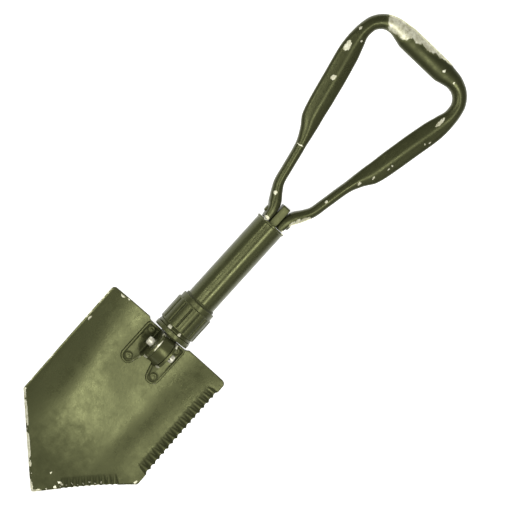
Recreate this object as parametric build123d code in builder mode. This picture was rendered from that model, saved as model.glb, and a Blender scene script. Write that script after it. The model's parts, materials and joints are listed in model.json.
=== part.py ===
"""Tri-fold camp shovel, open and ready to dig: a pointed steel blade with one serrated side, a
hinge with two cam ears, a threaded lock collar, a sliding shaft tube and a folding triangular
handle. Millimetres. +X runs from the blade's tip to the grip, +Z is the blade's hollow (front)
side, and the origin is under the middle of the shovel, level with the collar's lowest point.
"left" is the side of -Y and "right" the side of +Y, as the person who holds the grip sees it.
"""

import os
from math import cos, radians, sin, sqrt

from build123d import *

os.makedirs("parts", exist_ok=True)

# ---- driving dimensions -------------------------------------------------------------------
overall_length = 599.0
blade_length = 208.5
blade_width = 152.4
shoulder_from_tip = 73.5  # where the pointed end meets the parallel sides
sheet = 2.3  # blade thickness
tip_to_pivot = 191.5  # blade tip to the blade's hinge pin
tip_to_rim = 358.5  # blade tip to the shaft tube's upper rim
pivot_rise = 11.5  # the blade's hinge pin stands this far above the shaft's axis
seat_drop = 8.0  # the blade's flat seat lies this far under the shaft's axis

collar_radius = 20.9
tube_radius = 15.9
tube_bore = 14.3
bar_radius = 8.0
handle_pin_from_rim = 9.0

running = 0.06  # radial clearance of the pins and guide bushes

# ---- places that follow from them ---------------------------------------------------------
tip_x = -overall_length / 2
grip_end_x = overall_length / 2
blade_rear_x = tip_x + blade_length
shoulder_x = tip_x + shoulder_from_tip
pivot_x = tip_x + tip_to_pivot
rim_x = tip_x + tip_to_rim
handle_pin_x = rim_x + handle_pin_from_rim
shaft_z = collar_radius
pivot_z = shaft_z + pivot_rise
seat_z = shaft_z - seat_drop


def across(x):
    """The plane that crosses the shaft at x: its own x is +Y, its own y is +Z."""
    return Plane(origin=(x, 0, shaft_z), x_dir=(0, 1, 0), z_dir=(1, 0, 0))


def beside(y, height=shaft_z, x=0.0):
    """The plane beside the shaft at y: its own x is +X, its own y is +Z, it faces -Y."""
    return Plane(origin=(x, y, height), x_dir=(1, 0, 0), z_dir=(0, -1, 0))


# ---- blade --------------------------------------------------------------------------------
flat_half = 27.0  # half width of the flat strip down the middle, which seats the hinge
loft_half = blade_width / 2 + 3
corner_radius = 4.5
tip_radius = 3.0
shoulder_radius = 2.5
notch_half = 24.0  # the rear edge is relieved here, in front of the collar
notch_depth = 2.4

tip_rise = 17.2  # the middle of the blade rises this far over the seat at the tip
dish_start = 158.0  # and starts to rise this far behind the tip
rear_side_rise, nose_side_rise = 8.0, 12.8  # the sides' height at the rear, and what they gain
section_count = 13

# serrations: hollows that dip into the edge and run out of the face at their reach
side_teeth, side_pitch, side_first = 16, 6.8, 90.5
side_tooth_radius, side_tooth_depth, side_tooth_reach = 4.2, 2.65, 12.0
nose_teeth, nose_pitch, nose_first = 10, 5.8, 32.0
nose_tooth_radius, nose_tooth_depth, nose_tooth_reach = 3.4, 2.2, 11.0
tooth_overrun = 3.0  # the rod that cuts a serration starts this far outside the edge

rivet_radius = 3.0
rivet_head_radius = 4.25
rivet_y = 16.8
rivet_front_x = pivot_x - 26.7
rivet_rear_x = pivot_x + 8.0


def tooth_cutter(edge, inward, radius, depth, reach):
    """The end plane of a rod that dips depth into the edge and leaves the face reach further in."""
    slope = depth / reach
    start = edge + Vector(0, 0, radius - depth) - tooth_overrun * (inward + Vector(0, 0, slope))
    return Plane(origin=start, z_dir=inward + Vector(0, 0, slope))


def middle_height(from_tip):
    """Height of the blade's middle over the seat: level behind dish_start, rising to the tip."""
    return tip_rise * max(0.0, 1 - from_tip / dish_start) ** 2.2


def side_height(from_tip):
    """Height over the seat of the blade's side, at loft_half from its middle."""
    t = min(1.0, max(0.0, (blade_length + 1 - from_tip) / (blade_length + 6)))
    return rear_side_rise + nose_side_rise * (0.5 * t + 0.5 * t * t * (3 - 2 * t))


def face_height(from_tip, y):
    """Height of the blade's front face in the model: a flat strip with an arc on each side."""
    middle = middle_height(from_tip)
    rise = side_height(from_tip) - middle
    arc = ((loft_half - flat_half) ** 2 + rise**2) / (2 * rise)
    out = max(0.0, abs(y) - flat_half)
    return seat_z + middle + arc - sqrt(arc**2 - out**2)


with BuildPart() as blade:
    for i in range(section_count):
        from_tip = -2 + (blade_length + 3) * i / (section_count - 1)
        with BuildSketch(across(tip_x + from_tip)):
            with BuildLine():
                low = middle_height(from_tip) - seat_drop
                high = side_height(from_tip) - seat_drop
                for drop in (0, sheet):
                    Line((-flat_half, low - drop), (flat_half, low - drop))
                    for side in (-1, 1):
                        TangentArc(
                            (side * flat_half, low - drop),
                            (side * loft_half, high - drop),
                            tangent=(side, 0),
                        )
                for side in (-1, 1):
                    Line((side * loft_half, high), (side * loft_half, high - sheet))
            make_face()
    loft()
    with BuildSketch(Plane.XY.offset(-5)):
        half = blade_width / 2
        with BuildLine():
            FilletPolyline(
                (blade_rear_x - notch_depth, 0),
                (blade_rear_x - notch_depth, notch_half),
                (blade_rear_x, notch_half + 4),
                (blade_rear_x, half),
                (shoulder_x, half),
                (tip_x - 1.2, 0),
                (shoulder_x, -half),
                (blade_rear_x, -half),
                (blade_rear_x, -notch_half - 4),
                (blade_rear_x - notch_depth, -notch_half),
                (blade_rear_x - notch_depth, 0.01),
                radius=(1, 1, corner_radius, shoulder_radius, tip_radius, shoulder_radius,
                        corner_radius, 1, 1),
            )
            Line((blade_rear_x - notch_depth, 0.01), (blade_rear_x - notch_depth, 0))
        make_face()
    extrude(amount=70, mode=Mode.INTERSECT)
    # serrations of the left side
    side_inward = Vector(0, 1, 0)
    side_tooth = (side_tooth_radius, side_tooth_depth, side_tooth_reach)
    for i in range(side_teeth):
        from_tip = side_first + i * side_pitch
        y = -blade_width / 2
        edge = Vector(tip_x + from_tip, y, face_height(from_tip, y))
        with BuildSketch(tooth_cutter(edge, side_inward, *side_tooth)):
            Circle(side_tooth_radius)
        extrude(amount=side_tooth_reach + 2 * tooth_overrun, mode=Mode.SUBTRACT)
    # serrations of the left edge of the point
    nose = Vector(shoulder_from_tip, -blade_width / 2, 0).normalized()
    nose_inward = Vector(-nose.Y, nose.X, 0)
    nose_tooth = (nose_tooth_radius, nose_tooth_depth, nose_tooth_reach)
    for i in range(nose_teeth):
        place = nose * (nose_first + i * nose_pitch)
        edge = Vector(tip_x + place.X, place.Y, face_height(place.X, place.Y))
        with BuildSketch(tooth_cutter(edge, nose_inward, *nose_tooth)):
            Circle(nose_tooth_radius)
        extrude(amount=nose_tooth_reach + 2 * tooth_overrun, mode=Mode.SUBTRACT)
    # rivet holes
    with BuildSketch(Plane.XY.offset(-5)):
        for x in (rivet_front_x, rivet_rear_x):
            with Locations((x, rivet_y), (x, -rivet_y)):
                Circle(rivet_radius)
    extrude(amount=40, mode=Mode.SUBTRACT)
blade.part.label = "blade"
export_step(blade.part, "parts/blade.step")

# ---- hinge brackets: a flange on the blade and a cam ear that stands up from it -----------
ear_inner, ear_outer = 6.5, 9.5
flange_sheet = 2.2
flange_end_radius = 7.9
flange_rear_x = pivot_x + 14.4
ear_foot_front_x = pivot_x - 19.0
cam_flat = 15.5  # the ear's three flats lie this far from the hinge pin
cam_corner = 12.5
blade_pin_radius = 4.25
pivot_over_seat = pivot_z - seat_z

for side, sign in (("left", -1), ("right", 1)):
    with BuildPart() as ear_bracket:
        # the flange
        with BuildSketch(Plane.XY.offset(seat_z)):
            outer = sign * (rivet_y + flange_end_radius)
            with BuildLine():
                FilletPolyline(
                    (rivet_front_x, outer),
                    (flange_rear_x, outer),
                    (flange_rear_x, sign * ear_inner),
                    radius=4.0,
                )
                Line((flange_rear_x, sign * ear_inner), (ear_foot_front_x, sign * ear_inner))
                reach = flange_end_radius * sin(radians(45))
                tangent_point = (rivet_front_x - reach, sign * (rivet_y - reach))
                Line((ear_foot_front_x, sign * ear_inner), tangent_point)
                ThreePointArc(
                    tangent_point,
                    (rivet_front_x - flange_end_radius, sign * rivet_y),
                    (rivet_front_x, outer),
                )
            make_face()
        extrude(amount=flange_sheet)
        # the ear
        with BuildSketch(beside(sign * ear_inner, pivot_z, pivot_x)):
            inset = cam_flat - cam_corner
            with BuildLine():
                Line((cam_flat, -pivot_over_seat), (cam_flat, inset))
                ThreePointArc(
                    (cam_flat, inset),
                    (inset + cam_corner * cos(radians(45)), inset + cam_corner * sin(radians(45))),
                    (inset, cam_flat),
                )
                Line((inset, cam_flat), (-inset, cam_flat))
                ThreePointArc(
                    (-inset, cam_flat),
                    (-inset - cam_corner * cos(radians(45)), inset + cam_corner * sin(radians(45))),
                    (-cam_flat, inset),
                )
                Line((-cam_flat, inset), (-cam_flat, -10.5))
                Line((-cam_flat, -10.5), (ear_foot_front_x - pivot_x, 2 - pivot_over_seat))
                Polyline(
                    (ear_foot_front_x - pivot_x, 2 - pivot_over_seat),
                    (ear_foot_front_x - pivot_x, -pivot_over_seat),
                    (cam_flat, -pivot_over_seat),
                )
            make_face()
        extrude(amount=-sign * (ear_outer - ear_inner))
        # the flange takes the blade's exact face, and the two rivet holes
        add(blade.part, mode=Mode.SUBTRACT)
        with BuildSketch(Plane.XY.offset(seat_z - 3)):
            with Locations((rivet_front_x, sign * rivet_y), (rivet_rear_x, sign * rivet_y)):
                Circle(rivet_radius)
        extrude(amount=9, mode=Mode.SUBTRACT)
        with BuildSketch(beside(sign * 5, pivot_z, pivot_x)):
            Circle(blade_pin_radius)
        extrude(amount=-sign * 6, mode=Mode.SUBTRACT)
    ear_bracket.part.label = f"ear_bracket_{side}"
    export_step(ear_bracket.part, f"parts/ear_bracket_{side}.step")

# ---- four rivets with a domed head in front and a flat one behind the blade ---------------
head_height = 1.7
back_head_height = 1.3
rivet_top_z = seat_z + flange_sheet
rivet_back_z = seat_z - sheet
with BuildPart() as bracket_rivets:
    for x in (rivet_front_x, rivet_rear_x):
        for y in (-rivet_y, rivet_y):
            with BuildSketch(Plane.XY.offset(rivet_top_z)):
                with Locations((x, y)):
                    Circle(rivet_head_radius)
            extrude(amount=head_height)
            with BuildSketch(Plane.XY.offset(rivet_back_z - back_head_height)):
                with Locations((x, y)):
                    Circle(rivet_head_radius)
            extrude(amount=back_head_height)
    rims = bracket_rivets.edges().filter_by(GeomType.CIRCLE).group_by(Axis.Z)
    fillet(rims[-1], radius=1.5)
    fillet(rims[0], radius=0.8)
    for x in (rivet_front_x, rivet_rear_x):
        for y in (-rivet_y, rivet_y):
            with BuildSketch(Plane.XY.offset(rivet_back_z)):
                with Locations((x, y)):
                    Circle(rivet_radius)
            extrude(amount=rivet_top_z - rivet_back_z)
    add(blade.part, mode=Mode.SUBTRACT)
bracket_rivets.part.label = "bracket_rivets"
export_step(bracket_rivets.part, "parts/bracket_rivets.step")

# ---- blade hinge pin ----------------------------------------------------------------------
blade_pin_half = 16.6
with BuildPart() as blade_pivot_pin:
    with BuildSketch(beside(blade_pin_half, pivot_z, pivot_x)):
        Circle(blade_pin_radius)
    extrude(amount=2 * blade_pin_half)
    chamfer(blade_pivot_pin.edges().filter_by(GeomType.CIRCLE), length=0.9)
blade_pivot_pin.part.label = "blade_pivot_pin"
export_step(blade_pivot_pin.part, "parts/blade_pivot_pin.step")

# ---- core: knuckle, bar and tongue, which carry both hinges -------------------------------
knuckle_half = 6.3
knuckle_radius = 15.2
neck_low, neck_high = -5.4, 9.0  # the neck's height about the shaft's axis
boss_radius = 11.8
boss_start_x = pivot_x + 17.6
boss_end_x = pivot_x + 29.0
bar_start_x = boss_start_x + 2.5
cross_pin_radius = 2.0

with BuildPart() as hinge_knuckle:
    with BuildSketch(beside(knuckle_half, shaft_z, pivot_x)):
        with Locations((0, pivot_rise)):
            Circle(knuckle_radius)
        with Locations((9.5, (neck_low + neck_high) / 2)):
            Rectangle(19.0, neck_high - neck_low)
    extrude(amount=2 * knuckle_half)
    with BuildSketch(across(boss_start_x)):
        Circle(boss_radius)
    extrude(amount=boss_end_x - boss_start_x)
    with BuildSketch(across(bar_start_x)):
        Circle(bar_radius)
    extrude(amount=30, mode=Mode.SUBTRACT)
    with BuildSketch(beside(knuckle_half + 1, pivot_z, pivot_x)):
        Circle(blade_pin_radius + running)
    extrude(amount=2 * knuckle_half + 2, mode=Mode.SUBTRACT)
    knuckle_pin_x = (bar_start_x + boss_end_x) / 2
    with BuildSketch(beside(20, shaft_z, knuckle_pin_x)):
        Circle(cross_pin_radius)
    extrude(amount=40, mode=Mode.SUBTRACT)
hinge_knuckle.part.label = "hinge_knuckle"
export_step(hinge_knuckle.part, "parts/hinge_knuckle.step")

tongue_half = 4.25
tongue_rise = 6.5
tongue_end_x = rim_x + 23.0
tongue_boss_start_x = rim_x - 30.0
tongue_boss_end_x = rim_x - 12.0
tongue_boss_radius = 11.5
bar_end_x = tongue_boss_end_x - 3.0
tongue_pin_x = (tongue_boss_start_x + bar_end_x) / 2

with BuildPart() as core_bar:
    with BuildSketch(across(bar_start_x)):
        Circle(bar_radius)
    extrude(amount=bar_end_x - bar_start_x)
    with BuildSketch(beside(20, shaft_z)):
        with Locations((knuckle_pin_x, 0), (tongue_pin_x, 0)):
            Circle(cross_pin_radius)
    extrude(amount=40, mode=Mode.SUBTRACT)
core_bar.part.label = "core_bar"
export_step(core_bar.part, "parts/core_bar.step")

for name, x, half_length in (
    ("knuckle_cross_pin", knuckle_pin_x, boss_radius - 0.4),
    ("tongue_cross_pin", tongue_pin_x, tongue_boss_radius - 0.4),
):
    with BuildPart() as cross_pin:
        with BuildSketch(beside(half_length, shaft_z, x)):
            Circle(cross_pin_radius)
        extrude(amount=2 * half_length)
    cross_pin.part.label = name
    export_step(cross_pin.part, f"parts/{name}.step")

handle_pin_radius = 3.5
with BuildPart() as handle_tongue:
    with BuildSketch(across(tongue_boss_start_x)):
        Circle(tongue_boss_radius)
    extrude(amount=tongue_boss_end_x - tongue_boss_start_x)
    with BuildSketch(beside(tongue_half, shaft_z)):
        with Locations(((tongue_boss_end_x - 2 + tongue_end_x) / 2, 0)):
            RectangleRounded(tongue_end_x - tongue_boss_end_x + 2, 2 * tongue_rise, 1.2)
    extrude(amount=2 * tongue_half)
    with BuildSketch(across(tongue_boss_start_x - 1)):
        Circle(bar_radius)
    extrude(amount=bar_end_x - tongue_boss_start_x + 1, mode=Mode.SUBTRACT)
    with BuildSketch(beside(20, shaft_z)):
        with Locations((tongue_pin_x, 0)):
            Circle(cross_pin_radius)
        with Locations((handle_pin_x, 0)):
            Circle(handle_pin_radius + running)
    extrude(amount=40, mode=Mode.SUBTRACT)
handle_tongue.part.label = "handle_tongue"
export_step(handle_tongue.part, "parts/handle_tongue.step")

# ---- shaft tube with its rolled rim and two guide bushes ----------------------------------
tube_start_x = rim_x - 119.5
lip_length, lip_height = 2.2, 0.9
thread_depth = 0.5
thread_pitch = 3.0
thread_turns = 4
bush_length = 10.0

with BuildPart() as shaft_tube:
    with BuildSketch(across(tube_start_x)):
        Circle(tube_radius)
        Circle(tube_bore, mode=Mode.SUBTRACT)
    extrude(amount=rim_x - tube_start_x)
    with BuildSketch(across(rim_x - lip_length)):
        Circle(tube_radius + lip_height)
        Circle(tube_bore, mode=Mode.SUBTRACT)
    extrude(amount=lip_length)
    lip_edges = shaft_tube.edges().filter_by(GeomType.CIRCLE).group_by(SortBy.RADIUS)[-1]
    fillet(lip_edges, radius=0.7)
    # the thread, drawn as separate rings
    for i in range(thread_turns):
        with BuildSketch(across(tube_start_x + 2 + i * thread_pitch)):
            Circle(tube_radius + 1)
            Circle(tube_radius - thread_depth, mode=Mode.SUBTRACT)
        extrude(amount=thread_pitch / 2, mode=Mode.SUBTRACT)
shaft_tube.part.label = "shaft_tube"
export_step(shaft_tube.part, "parts/shaft_tube.step")

for name, x in (("lower_guide_bush", tube_start_x), ("upper_guide_bush", rim_x - 50)):
    with BuildPart() as guide_bush:
        with BuildSketch(across(x)):
            Circle(tube_bore)
            Circle(bar_radius + running, mode=Mode.SUBTRACT)
        extrude(amount=bush_length)
    guide_bush.part.label = name
    export_step(guide_bush.part, f"parts/{name}.step")

# ---- thrust ring, which bears on the ears ------------------------------------------------
ring_face_x = pivot_x + 17.0
ring_radius = 20.4
ring_bore = 12.2
ring_flange_end_x = ring_face_x + 5.0
ring_neck_radius = 17.4
collar_start_x = pivot_x + 26.0
ring_neck_end_x = collar_start_x - 0.2

with BuildPart() as thrust_ring:
    with BuildSketch(across(ring_face_x)):
        Circle(ring_radius)
    extrude(amount=ring_flange_end_x - ring_face_x)
    fillet(thrust_ring.edges().filter_by(GeomType.CIRCLE), radius=0.8)
    with BuildSketch(across(ring_flange_end_x)):
        Circle(ring_neck_radius)
    extrude(amount=ring_neck_end_x - ring_flange_end_x)
    with BuildSketch(across(ring_face_x)):
        Circle(ring_bore)
    extrude(amount=ring_neck_end_x - ring_face_x, mode=Mode.SUBTRACT)
thrust_ring.part.label = "thrust_ring"
export_step(thrust_ring.part, "parts/thrust_ring.step")

# ---- lock collar and the snap ring that holds the thrust ring to it -----------------------
collar_end_x = rim_x - 104.8
shoulder_start_x = collar_end_x - 8.6
shoulder_ring_radius = 19.3
collar_bore = 16.3
flute_count = 14
flute_radius = 3.2
flute_depth = 0.8
flute_length = 24.5

with BuildPart() as lock_collar:
    with BuildSketch(across(collar_start_x)):
        Circle(collar_radius)
    extrude(amount=shoulder_start_x - collar_start_x)
    fillet(lock_collar.edges().filter_by(GeomType.CIRCLE), radius=0.9)
    with BuildSketch(across(shoulder_start_x)):
        Circle(shoulder_ring_radius)
    extrude(amount=collar_end_x - shoulder_start_x)
    top_edge = lock_collar.edges().filter_by(GeomType.CIRCLE).sort_by(Axis.X)[-1]
    chamfer(top_edge, length=1.4)
    with BuildSketch(across(collar_start_x)):
        Circle(collar_bore)
    extrude(amount=collar_end_x - collar_start_x, mode=Mode.SUBTRACT)
    with BuildSketch(across(collar_start_x + 1.5)):
        with PolarLocations(collar_radius + flute_radius - flute_depth, flute_count, start_angle=12):
            Circle(flute_radius)
    extrude(amount=flute_length, mode=Mode.SUBTRACT)
lock_collar.part.label = "lock_collar"
export_step(lock_collar.part, "parts/lock_collar.step")

snap_ring_radius = 19.9
with BuildPart() as snap_ring:
    with BuildSketch(across(ring_flange_end_x + 0.3)):
        Circle(snap_ring_radius)
        Circle(ring_neck_radius + 0.2, mode=Mode.SUBTRACT)
    extrude(amount=collar_start_x - ring_flange_end_x - 0.3)
snap_ring.part.label = "collar_snap_ring"
export_step(snap_ring.part, "parts/collar_snap_ring.step")

# ---- handle: one tube, pressed flat and bent to a triangle ---------------------------------
grip_depth = 24.0  # the grip, across its length in the handle's plane
grip_middle_x = grip_end_x - grip_depth / 2

# from the rim, across to the middle of the section, width in the handle's plane, thickness,
# corner radius of the section and the direction of the tube there in degrees
handle_sections = (
    (0.6, 8.6, 8.2, 16.0, 3.0, 0),
    (11.0, 9.9, 10.8, 16.0, 3.4, 0),
    (20.0, 13.4, 13.0, 15.0, 4.0, 22),
    (28.0, 18.6, 11.8, 13.0, 4.0, 32),
    (37.0, 23.3, 10.8, 12.0, 4.2, 20),
    (52.0, 26.6, 10.6, 12.0, 4.4, 12),
    (76.0, 31.7, 10.9, 12.0, 4.4, 13),
    (92.0, 36.7, 15.2, 11.2, 4.4, 17),
    (105.0, 42.2, 21.0, 10.4, 4.3, 15),
    (130.0, 48.1, 23.0, 10.0, 4.2, 12),
    (152.0, 52.8, 23.2, 10.0, 4.2, 12),
    (174.0, 57.9, 22.8, 10.2, 4.3, 13),
    (190.0, 61.3, 19.6, 11.4, 4.8, 9),
    (202.0, 62.8, 15.6, 12.8, 5.6, 0),
    (212.5, 61.4, 14.6, 13.8, 6.2, -18),
    (221.4, 56.2, 15.2, 14.2, 6.5, -41),
    (227.0, 48.0, 16.4, 14.6, 6.7, -65),
    (229.0, 39.0, 18.6, 15.1, 6.9, -82),
    (grip_middle_x - rim_x + 0.2, 31.0, 21.2, 15.6, 7.0, -88),
    (grip_middle_x - rim_x, 24.0, grip_depth, 16.0, 7.2, -90),
)
grip_half = handle_sections[-1][1]

with BuildPart() as handle_frame:
    for from_rim, y, width, thick, corner, heading in handle_sections:
        along = Vector(cos(radians(heading)), sin(radians(heading)), 0)
        outward = Vector(-along.Y, along.X, 0)
        middle = (rim_x + from_rim, y, shaft_z)
        with BuildSketch(Plane(origin=middle, x_dir=outward, z_dir=along)):
            RectangleRounded(width, thick, corner)
    loft()
    mirror(about=Plane.XZ)
    grip_end = Plane(origin=(grip_middle_x, grip_half, shaft_z), x_dir=(1, 0, 0), z_dir=(0, -1, 0))
    with BuildSketch(grip_end):
        RectangleRounded(grip_depth, 16.0, 7.2)
    extrude(amount=2 * grip_half)
    with BuildSketch(beside(30, shaft_z, handle_pin_x)):
        Circle(handle_pin_radius)
    extrude(amount=60, mode=Mode.SUBTRACT)
handle_frame.part.label = "handle_frame"
export_step(handle_frame.part, "parts/handle_frame.step")

handle_pin_half = 16.0
with BuildPart() as handle_pivot_pin:
    with BuildSketch(beside(handle_pin_half, shaft_z, handle_pin_x)):
        Circle(handle_pin_radius)
    extrude(amount=2 * handle_pin_half)
handle_pivot_pin.part.label = "handle_pivot_pin"
export_step(handle_pivot_pin.part, "parts/handle_pivot_pin.step")
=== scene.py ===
"""Looks of the folding camp shovel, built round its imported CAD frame.

Lengths in this file are millimetres in the row frame (+X from blade tip to grip, +Z up) and
become metres where a mesh is made. Every visible piece is a mesh made here, in the place of the
CAD node that it stands for.
"""

import json
import math

import bmesh
import bpy
import numpy as np
from mathutils import Matrix, Vector


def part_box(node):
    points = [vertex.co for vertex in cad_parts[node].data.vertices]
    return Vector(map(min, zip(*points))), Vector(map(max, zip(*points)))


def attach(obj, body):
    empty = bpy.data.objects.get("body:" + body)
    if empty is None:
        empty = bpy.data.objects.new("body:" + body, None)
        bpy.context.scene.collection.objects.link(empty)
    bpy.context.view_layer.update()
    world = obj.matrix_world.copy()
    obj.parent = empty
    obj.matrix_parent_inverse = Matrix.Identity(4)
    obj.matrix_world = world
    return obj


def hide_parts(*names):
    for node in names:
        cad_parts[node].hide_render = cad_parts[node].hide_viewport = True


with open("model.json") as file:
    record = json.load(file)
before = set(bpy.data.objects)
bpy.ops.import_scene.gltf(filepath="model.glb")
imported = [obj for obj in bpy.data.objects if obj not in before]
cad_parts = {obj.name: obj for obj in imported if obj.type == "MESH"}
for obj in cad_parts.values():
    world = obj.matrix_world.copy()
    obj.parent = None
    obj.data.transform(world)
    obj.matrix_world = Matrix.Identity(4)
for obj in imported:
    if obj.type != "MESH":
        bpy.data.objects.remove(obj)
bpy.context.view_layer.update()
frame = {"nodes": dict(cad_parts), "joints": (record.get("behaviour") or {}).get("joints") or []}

MM = 0.001
joints = {j["name"]: j for j in frame["joints"]}


def low(node):
    return np.array(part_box(node)[0]) / MM


def high(node):
    return np.array(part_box(node)[1]) / MM


# ---- places read from the frame ----
pivot_x, _, pivot_z = (v / MM for v in joints["blade_fold"]["pos_m"])
handle_pin_x, _, shaft_z = (v / MM for v in joints["handle_fold"]["pos_m"])
rim_x = high("shaft_tube")[0]
tip_x = low("blade")[0]
blade_rear_x = high("blade")[0]
blade_half = high("blade")[1]
blade_length = blade_rear_x - tip_x
seat_z = low("ear_bracket_left")[2]

# ---- sizes shared with the CAD model ----
SHEET = 2.3
SHOULDER = 73.5  # blade tip to the start of the parallel sides
FLAT_HALF = 27.0
LOFT_HALF = blade_half + 3
TIP_RISE, DISH_START = 17.2, 158.0
REAR_SIDE_RISE, NOSE_SIDE_RISE = 8.0, 12.8
NOTCH_HALF, NOTCH_DEPTH = 24.0, 2.4
RIVET_Y = 16.8
RIVET_X = (pivot_x - 26.7, pivot_x + 8.0)
EAR_INNER, EAR_OUTER = 6.5, 9.5
CAM_FLAT, CAM_CORNER = 15.5, 12.5
FLANGE_SHEET, FLANGE_END_RADIUS = 2.2, 7.9
TUBE_RADIUS, TUBE_BORE = 15.9, 14.3
COLLAR_RADIUS, COLLAR_BORE = 20.9, 16.3
GROOVES = 14
GROOVE_START = 22.2  # degrees from +Y towards +Z


# ---- mesh helpers ----
def unit(value):
    """The value held between 0 and 1."""
    return np.clip(value, 0, 1)


def skin(rings, cap_start=True, cap_end=True, closed=True):
    """Vertices and faces of a tube-like skin through rings of equal length, capped by fans."""
    count = len(rings[0])
    verts = np.concatenate(rings)
    faces = []
    steps = count if closed else count - 1
    for r in range(len(rings) - 1):
        a, b = r * count, (r + 1) * count
        for i in range(steps):
            j = (i + 1) % count
            faces.append((a + i, a + j, b + j, b + i))
    for wanted, ring_index in ((cap_start, 0), (cap_end, len(rings) - 1)):
        if wanted:
            middle = len(verts)
            verts = np.vstack([verts, rings[ring_index].mean(0)])
            base = ring_index * count
            faces += [(base + i, base + (i + 1) % count, middle) for i in range(count)]
    return verts, faces


def join(*shells):
    """One vertex and face list out of several."""
    verts, faces, base = [], [], 0
    for v, f in shells:
        verts.append(v)
        faces += [tuple(i + base for i in face) for face in f]
        base += len(v)
    return np.vstack(verts), faces


def added(name, data):
    """A new object in the scene."""
    thing = bpy.data.objects.new(name, data)
    bpy.context.scene.collection.objects.link(thing)
    return thing


def piece(name, shell, body, material, nodes, sharp=40, layers=None, soil_and_shade=None):
    """A finished object: smooth shaded, riding its body, standing for its CAD nodes. Its last
    argument gives the grime and painted shade at each (x, y, z), 0 to 1."""
    verts, faces = shell
    if soil_and_shade:
        layers = dict(layers or {}, soil_and_shade=soil_and_shade(*np.asarray(verts).T))
    mesh = bpy.data.meshes.new(name)
    mesh.from_pydata((np.asarray(verts) * MM).tolist(), [], faces)
    for layer, values in (layers or {}).items():
        mesh.attributes.new(layer, "FLOAT", "POINT").data.foreach_set("value", values)
    work = bmesh.new()
    work.from_mesh(mesh)
    bmesh.ops.recalc_face_normals(work, faces=work.faces)
    work.to_mesh(mesh)
    work.free()
    mesh.polygons.foreach_set("use_smooth", [True] * len(mesh.polygons))
    mesh.set_sharp_from_angle(angle=math.radians(sharp))
    mesh.materials.append(material)
    thing = added(name, mesh)
    if layers is None or "bare" not in layers:
        mark_edges(mesh)
    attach(thing, body)
    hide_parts(*nodes)
    return thing


def mark_edges(mesh, spread=2):
    """Writes how convex the mesh is at each vertex, 0 to 1, as the layer "bare"."""
    full_turn = 0.5  # radians: an edge this sharp, or sharper, counts as 1
    work = bmesh.new()
    work.from_mesh(mesh)
    work.verts.ensure_lookup_table()
    value = np.zeros(len(work.verts))
    for edge in work.edges:
        if len(edge.link_faces) == 2:
            turn = edge.calc_face_angle_signed(0.0)
            if turn > 0:
                for v in edge.verts:
                    value[v.index] = max(value[v.index], min(1.0, turn / full_turn))
    pairs = np.array([[e.verts[0].index, e.verts[1].index] for e in work.edges])
    work.free()
    for _ in range(spread):
        total, count = value.copy(), np.ones(len(value))
        for a, b in ((0, 1), (1, 0)):
            np.add.at(total, pairs[:, a], value[pairs[:, b]])
            np.add.at(count, pairs[:, a], 1)
        value = np.maximum(value * 0.8, total / count)
    mesh.attributes.new("bare", "FLOAT", "POINT").data.foreach_set("value", value)


def round_turn(points):
    """Angles of a full turn."""
    return np.linspace(0, 2 * math.pi, points, endpoint=False)


def lathe(profile, segments=128, shape=None):
    """A ring body round the shaft from (x, radius) points. shape(angle, x, r) may vary r."""
    angles = round_turn(segments)
    rings = []
    for x, r in profile:
        radius = np.full(segments, float(r)) if shape is None else shape(angles, x, r)
        across, up = radius * np.cos(angles), shaft_z + radius * np.sin(angles)
        rings.append(np.stack([np.full(segments, float(x)), across, up], 1))
    return rings


def soften(points, radius=0.5, steps=4):
    """Rounds each inner corner of an open (x, r) profile with a small arc."""
    out = [points[0]]
    for before, here, after in zip(points, points[1:], points[2:]):
        a, b, c = (np.array(p, float) for p in (before, here, after))
        reach_in = min(radius, np.linalg.norm(a - b) * 0.45)
        reach_out = min(radius, np.linalg.norm(c - b) * 0.45)
        start = b + (a - b) / np.linalg.norm(a - b) * reach_in
        end = b + (c - b) / np.linalg.norm(c - b) * reach_out
        for k in range(steps + 1):
            t = k / steps
            out.append(tuple((1 - t) ** 2 * start + 2 * t * (1 - t) * b + t**2 * end))
    out.append(points[-1])
    return out


def spun(profile, radius=0.5, segments=128, shape=None, divide=0):
    """A closed ring body: the closed (x, r) profile is rounded and spun round the shaft."""
    loop = soften([*profile, profile[0], profile[1]], radius)[1:-2]
    if divide:
        finer = []
        for a, b in zip(loop, loop[1:] + loop[:1]):
            steps = max(1, int(abs(b[0] - a[0]) / divide))
            finer += [tuple(np.array(a) + (np.array(b) - np.array(a)) * k / steps) for k in range(steps)]
        loop = finer
    rings = lathe(loop, segments, shape)
    return skin(rings + [rings[0]], False, False)


def turned_across(x, z, profile, points=48):
    """Rings round the line along Y through (x, z), from (y, radius) points."""
    angles = round_turn(points)
    c, s = np.cos(angles), np.sin(angles)
    return [np.stack([x + r * c, np.full(points, y), z + r * s], 1) for y, r in profile]


def plate(outline, place, profile):
    """A thick plate: rings of the closed outline, moved in by d and up by h for each (d, h)."""
    outline = np.asarray(outline, float)
    before, after = np.roll(outline, 1, 0), np.roll(outline, -1, 0)
    run = after - before
    run /= np.linalg.norm(run, axis=1)[:, None]
    inward = np.stack([-run[:, 1], run[:, 0]], 1)
    area = 0.5 * np.sum(outline[:, 0] * after[:, 1] - after[:, 0] * outline[:, 1])
    inward *= math.copysign(1, area)
    return skin([place(outline + inward * d, h) for d, h in profile])


def turned(v, angle):
    """The flat vector v, turned by an angle in radians."""
    c, s = math.cos(angle), math.sin(angle)
    return np.array([c * v[0] - s * v[1], s * v[0] + c * v[1]])


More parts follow.
